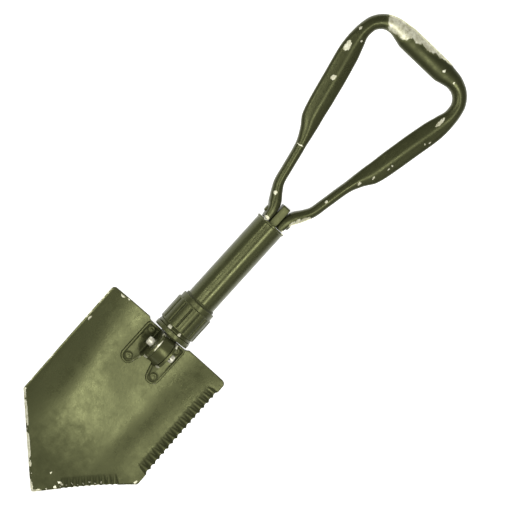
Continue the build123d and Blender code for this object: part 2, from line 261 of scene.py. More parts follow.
def corner_arc(a, b, c, radius, steps, inset=0.0):
    """The arc that rounds corner b on the way from a to c, after the edges move in by inset."""
    u, w = (b - a) / np.linalg.norm(b - a), (c - b) / np.linalg.norm(c - b)
    turn = math.atan2(u[0] * w[1] - u[1] * w[0], u @ w)
    n, m = (math.copysign(1, turn) * np.array([-v[1], v[0]]) for v in (u, w))
    start = b + inset * (n + m) / (1 + n @ m) - u * radius * math.tan(abs(turn) / 2)
    return [start + n * radius + turned(-n * radius, turn * k / steps) for k in range(steps + 1)]


def rounded(corners, step=0.8, turn_steps=8):
    """Points of a closed polygon with arcs: corners are (x, y, radius), in either direction."""
    points = []
    for i, (_, _, radius) in enumerate(corners):
        around = (np.array(corners[(i + k) % len(corners)][:2], float) for k in (-1, 0, 1))
        points += corner_arc(*around, radius, turn_steps)
    out = []
    for a, b in zip(points, points[1:] + points[:1]):
        steps = max(1, int(np.linalg.norm(b - a) / step))
        out += [a + (b - a) * k / steps for k in range(steps)]
    return np.array(out)


def flat_round(thick, edge):
    """Profile of a plate with rounded edges, for plate(): from its lower to its upper face."""
    turn = [math.pi / 2 * k / 4 for k in range(5)]
    lower = [(edge * (1 - math.sin(t)), edge * (1 - math.cos(t))) for t in turn]
    upper = [(d, thick - h) for d, h in reversed(lower)]
    return [(edge + 0.5, 0.0), *lower, *upper, (edge + 0.5, thick)]


def upright(y_start, sign):
    """Places (x, z) outlines on a wall at y_start that grows towards sign * Y."""
    def place(points, h):
        return np.stack([points[:, 0], np.full(len(points), y_start + sign * h), points[:, 1]], 1)
    return place


# ---- node helpers ----
class Shader:
    """Builds one material's nodes; sockets and plain values go in alike."""

    def __init__(self, name):
        self.material = bpy.data.materials.new(name)
        self.material.use_nodes = True
        self.tree = self.material.node_tree
        self.tree.nodes.clear()
        self.out = self.tree.nodes.new("ShaderNodeOutputMaterial")
        self.principled = self.tree.nodes.new("ShaderNodeBsdfPrincipled")
        self.tree.links.new(self.principled.outputs[0], self.out.inputs[0])
        self.place = self.node("ShaderNodeTexCoord").outputs["Object"]

    def node(self, kind, inputs=(), **settings):
        made = self.tree.nodes.new(kind)
        for key, value in settings.items():
            setattr(made, key, value)
        for key, value in dict(inputs).items():
            self.feed(made.inputs[key], value)
        return made

    def feed(self, socket, value):
        if isinstance(value, bpy.types.NodeSocket):
            self.tree.links.new(value, socket)
        else:
            socket.default_value = value

    def set(self, name, value):
        self.feed(self.principled.inputs[name], value)

    def bump(self, height, strength, distance):
        values = {"Height": height, "Strength": strength, "Distance": distance}
        self.set("Normal", self.node("ShaderNodeBump", values).outputs[0])

    def times(self, a, b):
        return self.math("MULTIPLY", a, b)

    def math(self, operation, a, b=0.0, c=0.0, clamp=False):
        made = self.node("ShaderNodeMath", {0: a, 1: b, 2: c}, operation=operation)
        made.use_clamp = clamp
        return made.outputs[0]

    def vector(self, operation, a, b=(0, 0, 0), output=0):
        made = self.node("ShaderNodeVectorMath", {0: a, 1: b}, operation=operation)
        return made.outputs[output]

    def noise(self, scale, detail=3.0, rough=0.5, where=None, stretch=None, distort=0.0):
        where = self.place if where is None else where
        if stretch:
            where = self.vector("MULTIPLY", where, stretch)
        made = self.node(
            "ShaderNodeTexNoise",
            {"Vector": where, "Scale": scale, "Detail": detail, "Roughness": rough, "Distortion": distort},
        )
        return made.outputs["Fac"]

    def ramp(self, value, start, end, low=0.0, high=1.0):
        made = self.node(
            "ShaderNodeMapRange",
            {"Value": value, "From Min": start, "From Max": end, "To Min": low, "To Max": high},
        )
        made.clamp = True
        return made.outputs[0]

    def mix(self, factor, a, b):
        made = self.node("ShaderNodeMix", data_type="RGBA")
        for key, value in ((0, factor), (6, a), (7, b)):
            self.feed(made.inputs[key], value)
        return made.outputs[2]

    def layer(self, name):
        return self.node("ShaderNodeAttribute", attribute_name=name).outputs["Fac"]

    def near(self, spots, warp=1.6, warp_scale=300.0):
        """Distance to the nearest of the spots ((x, y, z), (rx, ry, rz)) in mm; 1 is its rim."""
        jitter = self.node(
            "ShaderNodeTexNoise",
            {"Vector": self.place, "Scale": warp_scale, "Detail": 4.0, "Roughness": 0.62},
        ).outputs["Color"]
        jitter = self.vector("SUBTRACT", jitter, (0.5, 0.5, 0.5))
        jitter = self.vector("MULTIPLY", jitter, (3.4 * warp * MM,) * 3)
        where = self.vector("ADD", self.place, jitter)
        best = None
        for centre, radii in spots:
            shifted = self.vector("SUBTRACT", where, tuple(c * MM for c in centre))
            scaled = self.vector("DIVIDE", shifted, tuple(r * MM for r in radii))
            reach = self.vector("LENGTH", scaled, output="Value")
            best = reach if best is None else self.math("MINIMUM", best, reach)
        return best


OLIVE = (0.040, 0.043, 0.018, 1)
OLIVE_DARK = (0.020, 0.022, 0.009, 1)
OLIVE_WORN = (0.105, 0.110, 0.046, 1)
BARE = (0.80, 0.79, 0.62, 1)
BARE_DULL = (0.40, 0.38, 0.24, 1)
# the dark colour of grime, and of painted shade in grooves, at the ears' feet, round the rivets and on the
# teeth
SHADE_AND_SOIL_COLOUR = (0.012, 0.013, 0.006, 1)
SHEEN = (0.95, 1.0, 0.46, 1)


def olive_paint(name, edge_wear=0.5, spots=(), scuff=0.4, darkening=0.0, rough=0.30, tint=1.0,
                spot_warp=2.2, matte_tip=0.0, ridge_wear_and_glint_level=0.35):
    """Olive drab enamel: mottled, scuffed, darkened by grime and painted shade, lighter on convex
    edges from wear and a painted highlight, chipped to bright metal where "bare" and spots say
    (on the snap ring the spots are painted highlights).
    """
    s = Shader(name)
    broad = s.noise(16.0, 4.0, 0.55)
    middle = s.noise(110.0, 4.0, 0.6)
    fine = s.noise(900.0, 3.0, 0.6)
    light = tuple(c * 1.07 * tint for c in OLIVE[:3]) + (1,)
    deep = tuple(c * 0.92 * tint for c in OLIVE[:3]) + (1,)
    tones = s.mix(s.ramp(broad, 0.35, 0.65), deep, light)
    tones = s.mix(s.ramp(middle, 0.30, 0.70, 0.0, 0.26), tones, OLIVE_DARK)
    tones = s.mix(s.ramp(fine, 0.5, 0.72, 0.0, 0.15), tones, OLIVE_WORN)
    # fine scratches and rubbed places
    streaks = s.noise(190.0, 6.0, 0.72, stretch=(0.45, 1.6, 1.0), distort=0.6)
    rubbed = s.times(s.ramp(streaks, 0.55, 0.70), s.ramp(broad, 0.40, 0.60))
    tones = s.mix(s.times(rubbed, scuff), tones, OLIVE_WORN)
    # grime in the hollows and painted shade, both from the mesh layer that piece() writes, plus dark blots
    soil_and_shade = s.times(s.layer("soil_and_shade"), s.ramp(middle, 0.2, 0.7, 0.7, 1.0))
    blots = s.ramp(s.noise(45.0, 5.0, 0.65), 0.58, 0.74)
    soil_and_shade = s.math("ADD", soil_and_shade, s.times(blots, darkening), clamp=True)
    tones = s.mix(soil_and_shade, tones, SHADE_AND_SOIL_COLOUR)
    # bare metal
    ragged = s.noise(330.0, 5.0, 0.68)
    wear = s.times(s.layer("bare"), edge_wear * 2.0)
    wear = s.times(wear, s.ramp(s.noise(60.0, 3.0, 0.6), 0.38, 0.62, 0.35, 1.2))
    worn = s.math("ADD", wear, s.times(s.math("SUBTRACT", ragged, 0.5), 1.9))
    bare = s.ramp(worn, 0.80, 0.92)
    rubbed_edge = s.ramp(worn, 0.48, 0.84)
    if spots:
        reach = s.near(spots, spot_warp)
        bare = s.math("MAXIMUM", bare, s.ramp(reach, 1.04, 0.94))
        rubbed_edge = s.math("MAXIMUM", rubbed_edge, s.ramp(reach, 1.25, 1.02))
    # convex edges turn lighter: partly paint rubbed thin, partly a painted highlight catching the edge
    ridge_wear_and_glint = s.times(s.ramp(s.layer("bare"), 0.15, 0.75), ridge_wear_and_glint_level)
    tones = s.mix(s.math("MAXIMUM", ridge_wear_and_glint, s.times(rubbed_edge, 0.6)), tones, OLIVE_WORN)
    # gloss: rubbed and dirty paint is duller, and so is paint that the ground has scoured
    haze = s.math("ADD", middle, s.times(fine, 0.6))
    paint_rough = s.ramp(haze, 0.5, 1.1, rough - 0.06, rough + 0.13)
    paint_rough = s.math("ADD", paint_rough, s.times(soil_and_shade, 0.25))
    if matte_tip:
        along = s.node("ShaderNodeSeparateXYZ", {0: s.place}).outputs[0]
        tip_closeness = s.ramp(along, (tip_x + 92) * MM, (tip_x + 30) * MM, 0.0, matte_tip)
        paint_rough = s.math("ADD", paint_rough, s.times(tip_closeness, 0.30))
        # the paint also turns darker towards the tip
        tones = s.mix(s.times(tip_closeness, 0.60), tones, OLIVE_DARK)
    metal = s.mix(s.ramp(s.noise(210.0, 4.0, 0.6), 0.35, 0.7), BARE, BARE_DULL)
    flecks = s.ramp(s.noise(150.0, 6.0, 0.7), 0.58, 0.68, 0.0, 0.5)
    metal = s.mix(flecks, metal, OLIVE_WORN)
    s.set("Base Color", s.mix(bare, tones, metal))
    s.set("Metallic", s.times(bare, 0.35))
    s.set("Specular Tint", SHEEN)
    final = s.node("ShaderNodeMix", {0: bare, 2: paint_rough, 3: 0.40}, data_type="FLOAT").outputs[0]
    s.set("Roughness", final)
    # orange peel, scratches and the paint's thickness at each chip
    peel = s.math("ADD", s.times(s.noise(420.0, 3.0, 0.6), 0.7), s.times(fine, 0.3))
    height = s.math("SUBTRACT", peel, s.times(rubbed, 0.5))
    height = s.math("SUBTRACT", height, s.times(bare, 1.6))
    s.bump(height, 0.5, 0.00012)
    return s.material


def bare_metal(name, colour, dull, rough=0.34, metallic=0.75, left_paint=0.0, brush=(1, 1, 1)):
    """Worn steel or alloy with dull stains, fine turning marks and, maybe, remains of paint."""
    s = Shader(name)
    stain = s.noise(180.0, 5.0, 0.65)
    tones = s.mix(s.ramp(stain, 0.36, 0.68), colour, dull)
    marks = s.noise(700.0, 4.0, 0.7, stretch=brush)
    tones = s.mix(s.ramp(marks, 0.55, 0.75, 0.0, 0.35), tones, dull)
    if left_paint:
        threshold = 0.62 - 0.3 * left_paint
        paint = s.ramp(s.noise(240.0, 5.0, 0.7), threshold, threshold + 0.04)
        tones = s.mix(paint, tones, OLIVE)
        metallic = s.times(s.math("SUBTRACT", 1.0, paint), metallic)
    s.set("Base Color", tones)
    s.set("Metallic", metallic)
    s.set("Roughness", s.ramp(marks, 0.3, 0.7, rough - 0.07, rough + 0.12))
    s.bump(marks, 0.3, 0.00008)
    return s.material


def nylon(name):
    """Dark moulded plastic with a fine grain."""
    s = Shader(name)
    grain = s.noise(1400.0, 3.0, 0.6)
    s.set("Base Color", s.mix(s.ramp(grain, 0.3, 0.7), (0.030, 0.031, 0.028, 1), (0.055, 0.056, 0.050, 1)))
    s.set("Roughness", s.ramp(grain, 0.3, 0.7, 0.42, 0.60))
    s.bump(grain, 0.25, 0.00006)
    return s.material


# ---- blade ----
SIDE_TEETH = dict(count=16, pitch=6.8, first=90.5, radius=4.2, depth=2.65, reach=12.0)
NOSE_TEETH = dict(count=10, pitch=5.8, first=32.0, radius=3.4, depth=2.2, reach=11.0)


def face_height(x, y):
    """Height of the blade's front face: a flat strip with an arc on each side, rising to the tip."""
    from_tip = x - tip_x
    middle = TIP_RISE * np.maximum(0.0, 1 - from_tip / DISH_START) ** 2.2
    t = unit((blade_length + 1 - from_tip) / (blade_length + 6))
    rise = REAR_SIDE_RISE + NOSE_SIDE_RISE * (0.5 * t + 0.5 * t * t * (3 - 2 * t)) - middle
    arc = ((LOFT_HALF - FLAT_HALF) ** 2 + rise**2) / (2 * rise)
    out = np.maximum(0.0, np.abs(y) - FLAT_HALF)
    return seat_z + middle + arc - np.sqrt(arc**2 - out**2)


def dents(x, y):
    """Shallow waves of a used blade, and a hollow down its middle; neither is under the brackets."""
    total = np.zeros_like(x)
    waves = np.random.default_rng(5)
    for _ in range(14):
        angle, length = waves.uniform(0, math.pi), waves.uniform(22, 75)
        phase, size = waves.uniform(0, 2 * math.pi), waves.uniform(0.01, 0.045)
        along = x * math.cos(angle) + y * math.sin(angle)
        total += size * np.sin(2 * math.pi * along / length + phase)
    in_front = pivot_x - 36 - x  # past the front ends of the brackets
    away = unit(np.maximum(in_front, np.abs(y) - 26) / 18)
    ahead = unit(in_front / 90)
    by_tip = unit((x - tip_x) / 60)
    hollow = 2.2 * (1 - np.exp(-((y / 34) ** 2)))
    return total * away * away + hollow * ahead * ahead * (3 - 2 * ahead) * by_tip


def tooth_depth(along, across, teeth):
    """How deep the serration cuts at a place, from distances along and in from the edge."""
    index = np.clip(np.round((along - teeth["first"]) / teeth["pitch"]), 0, teeth["count"] - 1)
    off = np.abs(along - teeth["first"] - index * teeth["pitch"])
    radius = teeth["radius"]
    hollow = radius - np.sqrt(np.maximum(0, radius**2 - np.minimum(off, radius) ** 2))
    depth = teeth["depth"] * (1 - across / teeth["reach"]) - hollow
    depth = np.where(off >= radius, 0, depth)
    return np.maximum(0, depth)


nose_run = np.array([SHOULDER + 1.2, -blade_half])
nose_run /= np.linalg.norm(nose_run)


def nose_places(x, y):
    """Distances along and in from the left edge of the point."""
    px, py = x - tip_x, y
    return px * nose_run[0] + py * nose_run[1], -px * nose_run[1] + py * nose_run[0]


def on_nose(along, across):
    """The x and y of a place along and in from the left edge of the point."""
    x = tip_x + along * nose_run[0] - across * nose_run[1]
    return x, along * nose_run[1] + across * nose_run[0]


def blade_outline(inset):
    """The blade's outline moved in by inset, always with the same number of points, and a
    number for each point: which stretch of edge it lies on."""
    corners = [
        (blade_rear_x, blade_half, 4.5),
        (tip_x + SHOULDER, blade_half, 2.5),
        (tip_x - 1.2, 0.0, 3.0),
        (tip_x + SHOULDER, -blade_half, 2.5),
        (blade_rear_x, -blade_half, 4.5),
    ]
    points_on_edge = (70, 70, 170, 272, 110)  # more where the teeth are
    arc_steps = 12
    count = len(corners)
    starts, ends, arcs = [], [], []
    for i in range(count):
        around = (np.array(corners[(i + k) % count][:2]) for k in (-1, 0, 1))
        arc = corner_arc(*around, max(corners[i][2] - inset, 0.6), arc_steps, inset)
        arcs.append(np.array(arc))
        starts.append(arc[0])
        ends.append(arc[-1])
    points, stretch = [], []
    for i in range(count):
        points.append(arcs[i])
        stretch += [i] * len(arcs[i])
        steps = points_on_edge[i]
        t = (np.arange(1, steps) / steps)[:, None]
        points.append(ends[i] + (starts[(i + 1) % count] - ends[i]) * t)
        stretch += [i + 0.5] * (steps - 1)
    return np.concatenate(points), np.array(stretch)


def fading(inset, reach):
    """1 at the edge, falling to 0 at reach in from it."""
    return max(0.0, 1 - inset / reach)


def edges_of(stretch):
    """Which points of the outline lie on each edge; left is -Y, the side with the teeth."""
    right_nose = (stretch >= 1) & (stretch <= 2.5)
    return {
        "right_nose": right_nose,
        "right_side": (stretch < 1.5) & ~right_nose,
        "left_nose": (stretch > 2) & (stretch <= 3),
        "left_side": (stretch > 3) & (stretch < 4.2),
        "rear": (stretch > 4) | (stretch == 0),
    }


def serrated(flat, inset):
    """One ring with its rear relief and scallops: x, y, the depth of the teeth, and the places
    along and in from the toothed side and the toothed edge of the point."""
    x, y = flat[:, 0].copy(), flat[:, 1].copy()
    # the relief in front of the collar
    relief = unit((NOTCH_HALF + 3 - np.abs(y)) / 3)
    x -= NOTCH_DEPTH * relief * unit((x - blade_rear_x + 9) / 9)
    side_along, side_across = x - tip_x, y + blade_half
    nose_along, nose_across = nose_places(x, y)
    # scalloped outline: where the serration would cut right through the sheet
    at_edge = np.zeros_like(x)
    side_cut = tooth_depth(side_along, at_edge, SIDE_TEETH) * (side_across < 6)
    nose_cut = tooth_depth(nose_along, at_edge, NOSE_TEETH) * (nose_across < 6)
    y += fading(inset, 4.0) * 1.35 * unit((side_cut - 1.5) / 1.15)
    shift = fading(inset, 4.0) * 0.55 * unit((nose_cut - 1.2) / 1.0)
    x += shift * -nose_run[1]
    y += shift * nose_run[0]
    side_depth = tooth_depth(side_along, np.maximum(0, y + blade_half), SIDE_TEETH)
    nose_across = nose_places(x, y)[1]
    nose_depth = tooth_depth(nose_along, np.maximum(0, nose_across), NOSE_TEETH)
    cut = np.where(side_across < 13, side_depth, 0)
    cut = np.maximum(cut, np.where((nose_across < 12) & (nose_along < 100), nose_depth, 0))
    return x, y, cut, (side_along, side_across, nose_along, nose_across)


def ground_off(edges, inset):
    """How far each edge is ground down, and the small rounding that they all have."""
    ground = np.zeros(len(edges["rear"]))
    for edge, depth, reach in (("right_nose", 1.35, 2.9), ("right_side", 0.55, 1.7), ("left_nose", 0.9, 1.6)):
        ground[edges[edge]] = depth * fading(inset, reach)
    return ground + 0.38 * fading(inset, 0.7) ** 2


def edge_paint_wear(x, y, edges, inset):
    """How far the paint is gone, 0 to about 1, most of all on the point."""
    wear = np.zeros_like(x)
    wear[edges["right_nose"]] = 1.0 if inset < 2.5 else 0.55 * fading(inset - 2.5, 1.5)
    for edge, most, reach in (("right_side", 0.62, 3.2), ("left_nose", 0.72, 1.9), ("left_side", 0.34, 1.2)):
        wear[edges[edge]] = most * fading(inset, reach)
    wear[edges["rear"]] = np.maximum(wear[edges["rear"]], 0.42 * fading(inset, 1.0))
    at_tip = np.hypot(x - tip_x, y - 2) < 12
    return np.maximum(wear, 1.15 * unit(1 - (inset - 1.2) / 2.4) * at_tip)


def tooth_painted_shade(places, cut, stretch, inset):
    """Painted shade on the two toothed bands, most of it on the ridges, and along the rear edge."""
    side_along, side_across, nose_along, nose_across = places
    in_side = unit(1 - np.abs((side_along - 141.5) / 54) ** 24)
    in_side = in_side * unit((12.2 - side_across) / 1.5)
    in_nose = unit(1 - np.abs((nose_along - 58) / 29) ** 24)
    in_nose = in_nose * unit((11.2 - nose_across) / 1.5)
    ridge = 1 - unit(cut / 0.9)
    by_rear = np.where(stretch > 4, 0.5 * fading(inset, 2.5), 0)
    return by_rear + np.maximum(in_side * (0.42 + 0.45 * ridge), in_nose * (0.12 + 0.35 * ridge))


def blade_shell():
    """The whole blade: front face with serrations and ground edges, rim and back face."""
    insets = [0, 0.12, 0.35, 0.7, 1.1, 1.6, 2.2, 2.8, 3.5, 4.4, 5.4, 6.4, 7.5, 8.6, 9.6, 10.6, 11.6,
              12.8, 14.5]
    inner_inset = 20.0  # past the reach of the teeth and of every edge
    scales = np.linspace(1, 0.04, 26)[1:]
    centre = np.array([tip_x + 128.0, 0.0])
    _, stretch = blade_outline(0)
    edges = edges_of(stretch)
    flat_rings = [(inset, blade_outline(inset)[0]) for inset in insets]
    inner = flat_rings[-1][1]
    flat_rings += [(inner_inset, centre + (inner - centre) * s) for s in scales]
    front, back, bare_front, painted_shade_front, bare_back = [], [], [], [], []
    for inset, flat in flat_rings:
        x, y, cut, places = serrated(flat, inset)
        height = face_height(x, y) + dents(x, y)
        ground = np.minimum(ground_off(edges, inset), SHEET - 0.7)
        top = height - np.minimum(cut, SHEET - 0.35) - ground
        bottom = height - SHEET + 0.3 * fading(inset, 0.6) ** 2
        top = np.maximum(top, bottom + 0.25)
        front.append(np.stack([x, y, top], 1))
        back.append(np.stack([x, y, bottom], 1))
        wear = edge_paint_wear(x, y, edges, inset)
        bare_front.append(wear)
        bare_back.append(wear * 0.75)
        # painted shade on the toothed bands and along the rear edge
        painted_shade_front.append(tooth_painted_shade(places, cut, stretch, inset))
    shell = skin(front[::-1] + back)
    caps = [np.zeros(2)]
    bare = np.concatenate(bare_front[::-1] + bare_back + caps)
    soil_and_shade = np.concatenate(painted_shade_front[::-1] + [np.zeros(len(d)) for d in painted_shade_front] + caps)
    return shell, {"bare": bare, "soil_and_shade": soil_and_shade}


def make_blade():
    shell, layers = blade_shell()
    top = seat_z + 8
    # chips: centre and half sizes
    spots = [
        ((tip_x + 26, -3, top + 8), (1.2, 1.0, 12)),
        ((tip_x + 24, -17.5, top + 8), (1.4, 3.4, 14)),
        ((tip_x + 168, 72.5, top), (2.2, 1.0, 14)),
        ((tip_x + 66, 70, top + 8), (3.0, 1.6, 14)),
        ((tip_x + 206, 62, top), (0.9, 2.5, 14)),
        ((tip_x + 207, 55, top), (0.7, 1.6, 14)),
        ((tip_x + 74, -73.5, top + 8), (2.4, 1.4, 14)),
    ]
    # small chips on the left edge of the point, next to the tip
    for along, across, size in ((8, 0.9, 1.9), (15, 0.7, 1.3), (24, 1.1, 2.2)):
        spots.append(((*on_nose(along, across), top + 8), (size * 0.55, size, 14)))
    # chips on the ridges of the nose's serrations
    for k in range(8):
        along, across = 29.3 + NOSE_TEETH["pitch"] * k, 1.6 + 0.9 * (k % 3)
        half_sizes = (0.4 + 0.1 * (k % 2), 0.9 + 0.3 * (k % 3), 14)
        spots.append(((*on_nose(along, across), top + 8), half_sizes))
    paint = olive_paint("paint_blade", edge_wear=0.74, spots=spots, scuff=0.14, darkening=0.08, rough=0.25,
                        spot_warp=1.6, matte_tip=1.0, ridge_wear_and_glint_level=0.2)
    piece("blade_sheet", shell, "blade", paint, ["blade"], sharp=50, layers=layers)


# ---- hinge ----
def flange_outline(sign):
    """The flange on the blade, with a rivet at each end; sign is -1 on the left."""
    reach = FLANGE_END_RADIUS * math.sin(math.radians(45))
    front_x = pivot_x - 26.7
    corners = [
        (pivot_x + 14.4, RIVET_Y + FLANGE_END_RADIUS, 4.0),
        (front_x - FLANGE_END_RADIUS, RIVET_Y + FLANGE_END_RADIUS, FLANGE_END_RADIUS - 0.05),
        (front_x - FLANGE_END_RADIUS, RIVET_Y - 0.42 * FLANGE_END_RADIUS, 3.0),
        (front_x - reach + 1.0, RIVET_Y - reach - 1.2, 3.0),
        (pivot_x - 19.0, EAR_INNER, 1.2),
        (pivot_x + 14.4, EAR_INNER, 0.8),
    ]
    points = rounded(corners, step=1.0)
    points[:, 1] *= sign
    return points


def ear_outline():
    """The upright ear in x and z: square cam flats with round corners."""
    foot = seat_z + 0.1 - pivot_z
    corners = [
        (CAM_FLAT, foot, 0.4),
        (CAM_FLAT, CAM_FLAT, CAM_CORNER),
        (-CAM_FLAT, CAM_FLAT, CAM_CORNER),
        (-CAM_FLAT, -10.5, 3.0),
        (-19.0, foot + 2.0, 0.8),
        (-19.0, foot, 0.3),
    ]
    return rounded(corners, step=0.9) + np.array([pivot_x, pivot_z])


def ear_bend(sign):
    """The inside bend between the flange and the ear."""
    radius, inner_y, steps = 2.2, EAR_OUTER - 0.4, 8
    section = [(inner_y, seat_z + 0.3), (EAR_OUTER + radius, seat_z + 0.3)]
    for k in range(steps + 1):
        angle = math.pi / 2 * k / steps
        section.append((EAR_OUTER + radius * (1 - math.sin(angle)),
                        seat_z + 1.3 + radius * (1 - math.cos(angle))))
    section.append((inner_y, seat_z + 1.3 + radius))
    return skin([np.array([(x, sign * y, z) for y, z in section])
                 for x in np.linspace(pivot_x - 17.6, pivot_x + 13.4, 24)])


def pin_boss(sign):
    """The boss round the pin, on the ear's outer face."""
    profile = [(0.0, 5.9), (0.6, 5.9), (0.95, 5.6), (1.1, 5.2), (1.1, 4.3)]
    return skin(turned_across(pivot_x, pivot_z, [(sign * (EAR_OUTER + h), r) for h, r in profile]))


def bracket_soil_and_shade(x, y, z):
    """Grime and painted shade along the foot of the ear, round the rivets and on the ear's lower half."""
    low_down = unit((seat_z + 5 - z) / 4)
    by_ear = unit((EAR_OUTER + 6.5 - np.abs(y)) / 4)
    by_rivet = np.zeros(len(x))
    for rivet_x in RIVET_X:
        away = np.hypot(x - rivet_x, np.abs(y) - RIVET_Y)
        by_rivet = np.maximum(by_rivet, unit((6.0 - away) / 1.2) * (z < seat_z + 1.8))
    on_ear = 0.35 * (z > seat_z + 3) * unit((pivot_z + 12 - z) / 6)
    return np.maximum(np.maximum(low_down * by_ear * 0.8, by_rivet * 0.75), on_ear)


def make_bracket(side, sign):
    def lie(points, h):
        return np.column_stack([points, np.full(len(points), seat_z + 0.05 + h)])

    # from the outer edge: a rounded rim, then a sunken floor
    tray = [(0.6, 0.0), (0.0, 0.25), (0.0, 1.3), (0.18, 1.8), (0.6, 2.12), (1.2, FLANGE_SHEET),
            (1.9, 2.12), (2.4, 1.8), (2.8, 1.45), (3.3, 1.32), (3.8, 1.3)]
    flange = with_floor(flange_outline(sign), lie, tray)
    ear_face = flat_round(EAR_OUTER - EAR_INNER, 0.7)
    ear = plate(ear_outline(), upright(sign * EAR_INNER, sign), ear_face)
    # bare places on the ear: its two ends, and one more on the cam
    spots = [
        ((pivot_x - 14.6, sign * 8, pivot_z + 6), (2.3, 2.2, 6.5)),
        ((pivot_x + 14.5, sign * 8, pivot_z + 5.5), (2.8, 2.6, 3.0)),
    ]
    if side == "right":
        spots.append(((pivot_x + 3.5, sign * 6.9, pivot_z + CAM_FLAT - 0.4), (7.5, 1.6, 2.4)))
    else:
        spots.append(((pivot_x + 11.5, sign * 8.2, pivot_z + 9.5), (4.0, 1.6, 2.6)))
    paint = olive_paint(f"paint_bracket_{side}", edge_wear=0.36, spots=spots, scuff=0.45, darkening=0.35,
                        rough=0.28, tint=0.8, spot_warp=1.2)
    shell = join(flange, ear, ear_bend(sign), pin_boss(sign))
    piece(f"bracket_{side}", shell, "blade", paint, [f"ear_bracket_{side}"], sharp=45,
          soil_and_shade=bracket_soil_and_shade)


def with_floor(outline, lie, tray):
    """A tray whose floor is a grid of its own, so that grime can lie on it in detail."""
    verts, faces = plate(outline, lie, tray)
    count = len(outline)
    ring = verts[-2 - count:-2]
    middle = ring.mean(0)
    loops = [middle + (ring - middle) * k for k in np.linspace(1, 0.04, 22)]
    floor, floor_faces = skin(loops, False, True)
    keep = [f for f in faces if len(verts) - 1 not in f]
    return join((verts[:-1], keep), (floor, floor_faces))


def make_rivets():
    shells = []
    head = [(4.25, 0.0), (4.3, 0.35), (4.15, 0.8), (3.6, 1.25), (2.8, 1.52), (2.1, 1.58), (1.6, 1.5),
            (0.9, 1.38), (0.4, 1.36)]
    tail = [(4.25, 0.0), (4.28, -0.3), (4.1, -0.7), (3.7, -1.05), (2.6, -1.25), (1.2, -1.28)]
    angles = round_turn(40)
    for x in RIVET_X:
        for y in (-RIVET_Y, RIVET_Y):
            for profile, base in ((head, seat_z + 1.34), (tail, seat_z - SHEET)):
                rings = [np.stack([x + r * np.cos(angles), y + r * np.sin(angles),
                                   np.full(40, base + h)], 1) for r, h in profile]
                shells.append(skin(rings))
    paint = olive_paint("paint_rivets", edge_wear=0.2, scuff=0.6, darkening=0.5, rough=0.30, tint=0.7)
    piece("rivet_heads", join(*shells), "blade", paint, ["bracket_rivets"], sharp=50)


def pin_profile(half, radius, end):
    """Points (y, radius) of a pin from -half to half, both ends shaped by (depth, radius) points."""
    profile = [(-half + depth, r) for depth, r in end]
    profile += [(y, radius) for y in np.linspace(-half + 1.6, half - 1.6, 20)]
    return profile + [(half - depth, r) for depth, r in reversed(end)]


def make_blade_pin():
    half = high("blade_pivot_pin")[1]
    radius = (high("blade_pivot_pin")[2] - low("blade_pivot_pin")[2]) / 2
    end = [(0.0, 1.6), (0.0, 3.0), (0.25, 3.7), (0.7, 4.1), (1.3, radius)]
    steel = bare_metal("steel_pin", (0.84, 0.82, 0.68, 1), (0.56, 0.54, 0.40, 1), rough=0.42, metallic=0.3,
                       left_paint=0.12)
    rings = turned_across(pivot_x, pivot_z, pin_profile(half, radius, end))
    piece("hinge_pin", skin(rings), "blade", steel, ["blade_pivot_pin"], sharp=50)


def make_handle_pin():
    half = high("handle_pivot_pin")[1]
    radius = (high("handle_pivot_pin")[2] - low("handle_pivot_pin")[2]) / 2
    end = [(0.0, 0.9), (0.0, radius - 1.1), (0.15, radius - 0.55), (0.5, radius - 0.15), (1.0, radius)]
    rings = turned_across(handle_pin_x, shaft_z, pin_profile(half, radius, end))
    paint = olive_paint("paint_handle_pin", edge_wear=0.45, scuff=0.5, darkening=0.3, rough=0.30, tint=0.8)
    piece("handle_pin", skin(rings), "handle", paint, ["handle_pivot_pin"], sharp=50)


def make_knuckle():
    """The lug between the ears: a round head, a neck and a boss towards the tube."""
    head_radius, neck_end = 15.2, 19.0
    neck_low, neck_high = -16.9, -2.5
    angles = np.linspace(-0.62, math.pi + 0.62, 60)
    head = [(head_radius * math.cos(a), head_radius * math.sin(a)) for a in angles]
    head = [p for p in head if p[1] > neck_high + 0.2 or p[0] < 8]
    outline = np.array([(neck_end, neck_high), *head, (-8.0, -12.9), (0.0, -15.2), (7.0, neck_low),
                        (neck_end, neck_low)])
    outline = outline + np.array([pivot_x, pivot_z])
    steps = []
    for a, b in zip(outline, np.roll(outline, -1, 0)):
        count = max(1, int(np.linalg.norm(b - a) / 1.2))
        steps += [a + (b - a) * k / count for k in range(count)]
    lug = plate(np.array(steps), upright(-6.3, 1), flat_round(12.6, 0.9))
    boss_start, boss_end, boss_radius = pivot_x + 17.6, pivot_x + 29.0, 11.8
    boss = spun([(boss_start, 1.0), (boss_start, boss_radius), (boss_end, boss_radius), (boss_end, 1.0)])
    spots = [((pivot_x + 15.5, 3.5, pivot_z + 2), (2.0, 3.0, 2.0))]
    # darker paint with more dark blots: painted shade on the knuckle between the ears
    paint = olive_paint("paint_knuckle", edge_wear=0.3, spots=spots, scuff=0.6, darkening=0.4, rough=0.28,
                        tint=0.75)
    piece("knuckle", join(lug, boss), "core", paint, ["hinge_knuckle"], sharp=45)


# ---- collar and rings ----
def make_thrust_ring():
    x0 = low("thrust_ring")[0]
    x1 = high("thrust_ring")[0]
    profile = [(x0, 12.2), (x0, 20.4), (x0 + 5.0, 20.4), (x0 + 5.0, 17.4), (x1, 17.4), (x1, 12.2)]
    paint = olive_paint("paint_thrust_ring", edge_wear=0.34, scuff=0.5, darkening=0.3, rough=0.30,
                        tint=0.8)
    piece("thrust_ring_skin", spun(profile, 0.7), "ring", paint, ["thrust_ring"], sharp=50)


